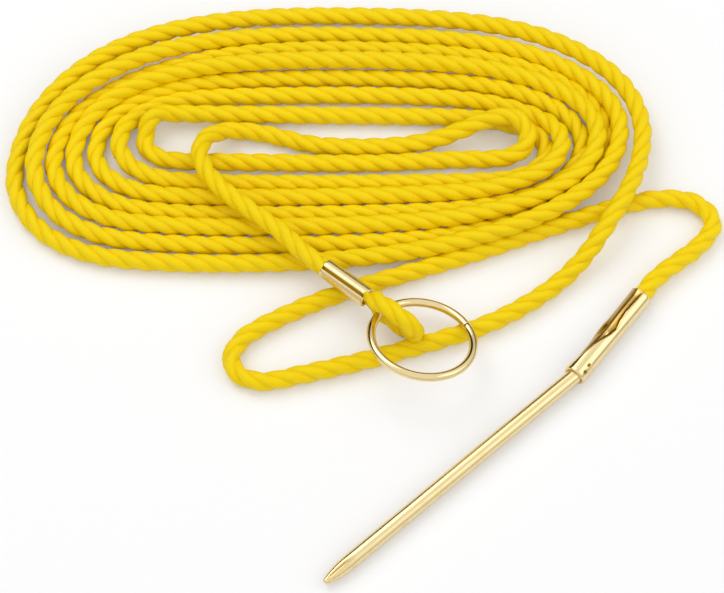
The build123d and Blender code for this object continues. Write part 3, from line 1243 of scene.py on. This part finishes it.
@dataclass
class Needle:
    """Brass rod with a curved taper, a blunt tip and a flat filed along the taper.

    The flat's start and stop are a distance from the tip, and the length in which it gets deep.
    """

    route: RopeRoute
    finish: bpy.types.Material
    start: float = -2.0
    length: float = 75.0
    radius: float = NEEDLE_R
    butt_edge: Pair = (0.3, 0.4)
    tip_length: float = 7.0
    tip_r: float = 0.75
    tip_round: float = 0.4
    shank_rows: int = 40
    taper_rows: int = 14
    tip_rows: int = 5
    steps: int = 64
    flat_at: float = -5.0
    flat_half: float = 14.0
    flat_start: Pair = (8.5, 3.0)
    flat_stop: Pair = (0.6, 1.5)
    flat_depth: float = 0.16
    flat_stain: float = 0.7

    def outline(self) -> list[Pair]:
        """Radius and height from inside the socket to the tip.

        Returns:
            The outline's points.
        """
        shank = self.start + self.butt_edge[1]
        taper, tip = self.length - self.tip_length, self.length - self.tip_round
        outline = [(0.0, self.start), (self.radius - self.butt_edge[0], self.start)]
        for row in range(self.shank_rows + 1):
            outline.append((self.radius, shank + (taper - shank) * row / self.shank_rows))
        for row in range(1, self.taper_rows + 1):
            share = row / self.taper_rows
            radius = self.radius - (self.radius - self.tip_r) * share**2
            outline.append((radius, taper + (tip - taper) * share))
        for row in range(1, self.tip_rows + 1):
            turn = row / self.tip_rows * pi / 2
            outline.append((self.tip_r - self.tip_round * (1 - cos(turn)), tip + self.tip_round * sin(turn)))
        outline.append((0.0, self.length))
        return outline

    def filed(self, radius: float, angle: float, height: float) -> Pair:
        """Depth and stain of the flat that is filed along the taper.

        Args:
            radius: millimetres from the axis; the flat is as deep at any.
            angle: degrees round the axis, 0 at the top.
            height: millimetres from the socket's lip.

        Returns:
            Depth in millimetres, and stain from 0 to 1.
        """
        to_tip = self.length - height
        along = ease((self.flat_start[0] - to_tip) / self.flat_start[1])
        along *= ease((to_tip - self.flat_stop[0]) / self.flat_stop[1])
        share = bell(angle - self.flat_at, self.flat_half) * along
        return self.flat_depth * share, self.flat_stain * share

    def build(self) -> bpy.types.Object:
        """Make the needle.

        Returns:
            The piece.
        """
        shape = turned(self.outline(), self.steps)
        press(shape, self.filed)
        bmesh.ops.transform(shape, matrix=Matrix.Scale(MM, 4) @ self.route.needle_frame, verts=shape.verts)
        piece = finished("needle_rod", shape, self.finish)
        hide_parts("needle")
        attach(piece, Body.NEEDLE.value)
        return piece


@dataclass
class Studio:
    """Camera at the photograph's angle, pale floor and soft light.

    The sky is levels and greys: dark below the horizon, and on its dark side dark up to about the
    dark height above it.
    """

    target: Point = (6.5, -42.0, 0.0)
    elevation: float = 60.0
    distance: float = 533.0
    lens_px: float = 2300.0
    image_px: float = 724.0
    sensor: float = 36.0
    nearest: float = 10.0
    floor_size: float = 4000.0
    sky: tuple[Pair, ...] = ((0.47, 0.02), (0.55, 0.55), (0.68, 0.86), (1.0, 0.95))
    dark_side: Point = (-0.45, 0.89, 0.0)
    dark_height: float = 0.45
    lamp_size: float = 800.0
    key_place: Point = (-450.0, 500.0, 950.0)
    key_power: float = 3.4
    fill_place: Point = (950.0, -100.0, 750.0)
    fill_power: float = 1.2

    def camera(self) -> None:
        """Make the camera."""
        data = bpy.data.cameras.new("camera")
        data.sensor_fit = "HORIZONTAL"
        data.sensor_width = self.sensor
        data.lens = self.lens_px * self.sensor / self.image_px
        data.clip_start = self.nearest * MM
        camera = bpy.data.objects.new("camera", data)
        rise = radians(self.elevation)
        camera.location = (Vector(self.target) + Vector((0, -cos(rise), sin(rise))) * self.distance) * MM
        camera.rotation_euler = (pi / 2 - rise, 0, 0)
        bpy.context.scene.collection.objects.link(camera)
        bpy.context.scene.camera = camera

    def floor(self) -> None:
        """Make the floor."""
        shape = bmesh.new()
        bmesh.ops.create_grid(shape, x_segments=1, y_segments=1, size=self.floor_size * MM / 2)
        mesh = bpy.data.meshes.new("floor")
        shape.to_mesh(mesh)
        shape.free()
        mesh.materials.append(FloorFinish().make())
        floor = bpy.data.objects.new("floor", mesh)
        bpy.context.scene.collection.objects.link(floor)

    def lamp(self, name: str, place: Point, power: float) -> None:
        """Make a square soft lamp that points at the object.

        Args:
            name: the lamp's name.
            place: where it hangs.
            power: its power, in watts.
        """
        data = bpy.data.lights.new(name, "AREA")
        data.size = self.lamp_size * MM
        data.energy = power
        lamp = bpy.data.objects.new(name, data)
        lamp.location = Vector(place) * MM
        aim = Vector(self.target) - Vector(place)
        lamp.rotation_euler = aim.to_track_quat("-Z", "Y").to_euler()
        bpy.context.scene.collection.objects.link(lamp)

    def surroundings(self) -> None:
        """Make the soft light all round, with its dark side for the metal, and white for the camera."""
        world = bpy.data.worlds.new("studio")
        world.use_nodes = True
        sky = NodeTree(world.node_tree)
        place = sky.node("ShaderNodeTexCoord", {}, {}).outputs["Generated"]
        height = Value(sky, sky.node("ShaderNodeSeparateXYZ", {}, {0: place}).outputs[2])
        sides = {0: place, 1: self.dark_side}
        aside = sky.value("ShaderNodeVectorMath", {"operation": "DOT_PRODUCT"}, sides, "Value")
        dark = sky.value("ShaderNodeClamp", {}, {"Value": aside, "Min": 0.0, "Max": 1.0})
        stops = [(position, (grey,) * 3) for position, grey in self.sky]
        level = height - dark * self.dark_height + self.dark_height
        tent = sky.node("ShaderNodeValToRGB", {"stops": stops}, {0: level}).outputs[0]
        seen = sky.node("ShaderNodeLightPath", {}, {}).outputs["Is Camera Ray"]
        soft = sky.node("ShaderNodeBackground", {}, {"Color": tent, "Strength": 1.0}).outputs[0]
        white = sky.node("ShaderNodeBackground", {}, {"Color": WHITE, "Strength": 1.0}).outputs[0]
        both = sky.node("ShaderNodeMixShader", {}, {0: seen, 1: soft, 2: white})
        sky.node("ShaderNodeOutputWorld", {}, {"Surface": both.outputs[0]})
        bpy.context.scene.world = world

    def build(self) -> None:
        """Make the camera, the floor and the light."""
        self.camera()
        self.floor()
        self.lamp("key", self.key_place, self.key_power)
        self.lamp("fill", self.fill_place, self.fill_power)
        self.surroundings()
        bpy.context.scene.view_settings.view_transform = "Standard"


def main() -> None:
    """Build the stringer and its studio, in order."""
    logging.basicConfig(level=logging.INFO, format="%(name)s: %(message)s")
    Studio().build()
    route = RopeRoute()
    rope = Rope(route, RopeFinish().make())
    line, lead = rope.build()
    socket_along, needle_along = tuple(route.socket_frame.col[2].xyz), tuple(route.needle_frame.col[2].xyz)
    socket_brass = BrassFinish("socket_brass", socket_along, roughness=0.12, streak_rough=0.06)
    socket = Socket(route, socket_brass.make()).build()
    needle = Needle(route, BrassFinish("needle_brass", needle_along).make()).build()
    sleeve_along = tuple(heading(route.eye_heading, route.eye_slope))
    sleeve = Sleeve(route, BrassFinish("sleeve_brass", sleeve_along).make()).build()
    ring_brass = BrassFinish("ring_brass", (0.0, 0.0, 1.0), roughness=0.07, streak_rough=0.03)
    ring = Ring(route, ring_brass.make()).build()
    rope.declare(lead)
    for piece in (line, lead, socket, needle, sleeve, ring):
        LOG.info("%s: %d faces", piece.name, len(piece.data.polygons))


if __name__ == "__main__":
    main()
